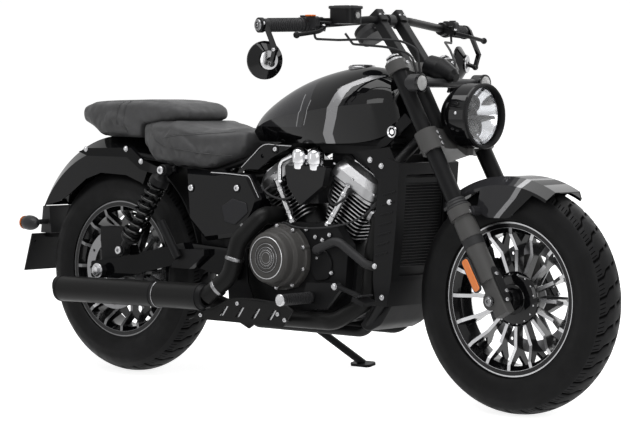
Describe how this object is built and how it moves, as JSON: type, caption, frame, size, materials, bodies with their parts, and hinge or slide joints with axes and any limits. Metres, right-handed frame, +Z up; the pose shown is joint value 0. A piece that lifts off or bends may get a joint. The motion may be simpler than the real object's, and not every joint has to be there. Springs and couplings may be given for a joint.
{
  "type": "cruiser motorcycle",
  "caption": "Low cruiser motorcycle with a finned V engine, long teardrop tank, stepped seat, cast wheels and side stand.",
  "frame": {"origin": "middle of the footprint of the parked machine's box, on the ground", "axes": "+X forward, along the ground towards the front wheel; +Y to the rider's left; +Z up; the machine leans about X onto its side stand"},
  "size_m": [2.1139, 0.9076, 1.0893],
  "materials": {
    "tyre_rubber": "matte",
    "wheel_black": "gloss",
    "disc_steel": "satin",
    "pulley_alloy": "satin",
    "belt_rubber": "matte",
    "frame_black": "satin",
    "fork_steel": "satin",
    "fork_black": "satin",
    "zinc_steel": "satin",
    "shock_black": "satin",
    "calliper_black": "satin",
    "gloss_black": "gloss",
    "strut_grey": "satin",
    "cap_black": "satin",
    "seat_vinyl": "matte",
    "grip_rubber": "matte",
    "switch_plastic": "matte",
    "lens_glass": "clear",
    "lamp_plastic": "gloss",
    "engine_black": "satin",
    "polished_alloy": "polished",
    "cover_bronze": "satin",
    "radiator_core": "satin",
    "exhaust_black": "satin"
  },
  "bodies": {
    "frame": {"frame": "frame_black", "drive_belt": "belt_rubber", "swingarm": "frame_black", "rear_axle": "zinc_steel", "rear_calliper": "calliper_black", "rear_shocks": "shock_black", "fuel_tank": "gloss_black", "tank_cap": "cap_black", "rider_seat": "seat_vinyl", "pillion_seat": "seat_vinyl", "rear_fender": "gloss_black", "fender_struts": "strut_grey", "side_covers": "gloss_black", "tail_lamp": "lamp_plastic", "plate_holder": "frame_black", "rear_indicators": "lamp_plastic", "under_tank_block": "engine_black", "frame_covers": "strut_grey", "crankcase": "engine_black", "cylinders": "engine_black", "rocker_covers": "polished_alloy", "engine_covers": "cover_bronze", "air_box": "engine_black", "radiator": "radiator_core", "radiator_shroud": "frame_black", "exhaust_pipes": "exhaust_black", "muffler": "exhaust_black", "heat_shield": "exhaust_black", "coolant_hoses": "belt_rubber", "foot_controls": "frame_black", "passenger_pegs": "zinc_steel"},
    "steering": {"fork_tubes": "fork_steel", "fork_lowers": "fork_black", "front_axle": "zinc_steel", "lower_clamp": "fork_black", "upper_clamp": "fork_black", "bar_risers": "frame_black", "handlebar": "frame_black", "grips": "grip_rubber", "switch_housings": "switch_plastic", "hand_levers": "cap_black", "brake_reservoir": "calliper_black", "mirrors": "gloss_black", "headlamp_bucket": "gloss_black", "headlamp_lens": "lens_glass", "instrument": "cap_black", "lamp_nacelle": "strut_grey", "front_indicators": "lamp_plastic", "front_fender": "gloss_black", "front_calliper": "calliper_black", "control_cables": "belt_rubber"},
    "front_wheel": {"front_tyre": "tyre_rubber", "front_wheel": "wheel_black", "front_brake_disc": "disc_steel"},
    "rear_wheel": {"rear_tyre": "tyre_rubber", "rear_wheel": "wheel_black", "rear_brake_disc": "disc_steel", "rear_pulley": "pulley_alloy"},
    "side_stand": {"side_stand": "frame_black"}
  },
  "joints": [
    {"name": "steering_turn", "type": "hinge", "parent": "frame", "child": "steering", "pos_m": [0.44298, -0.02259, 0.77967], "axis": [-0.5, 0.1504, 0.8529], "range_deg": [-35, 35]},
    {"name": "front_wheel_spin", "type": "hinge", "parent": "steering", "child": "front_wheel", "pos_m": [0.755, -0.1074, 0.29866], "axis": [0, 0.9848, -0.1736], "continuous": true},
    {"name": "rear_wheel_spin", "type": "hinge", "parent": "frame", "child": "rear_wheel", "pos_m": [-0.665, -0.10671, 0.3026], "axis": [0, 0.9848, -0.1736], "continuous": true},
    {"name": "side_stand_fold", "type": "hinge", "parent": "frame", "child": "side_stand", "pos_m": [-0.09, -0.00485, 0.15466], "axis": [0.261, 0.6703, 0.6947], "range_deg": [0, 115.4]}
  ]
}
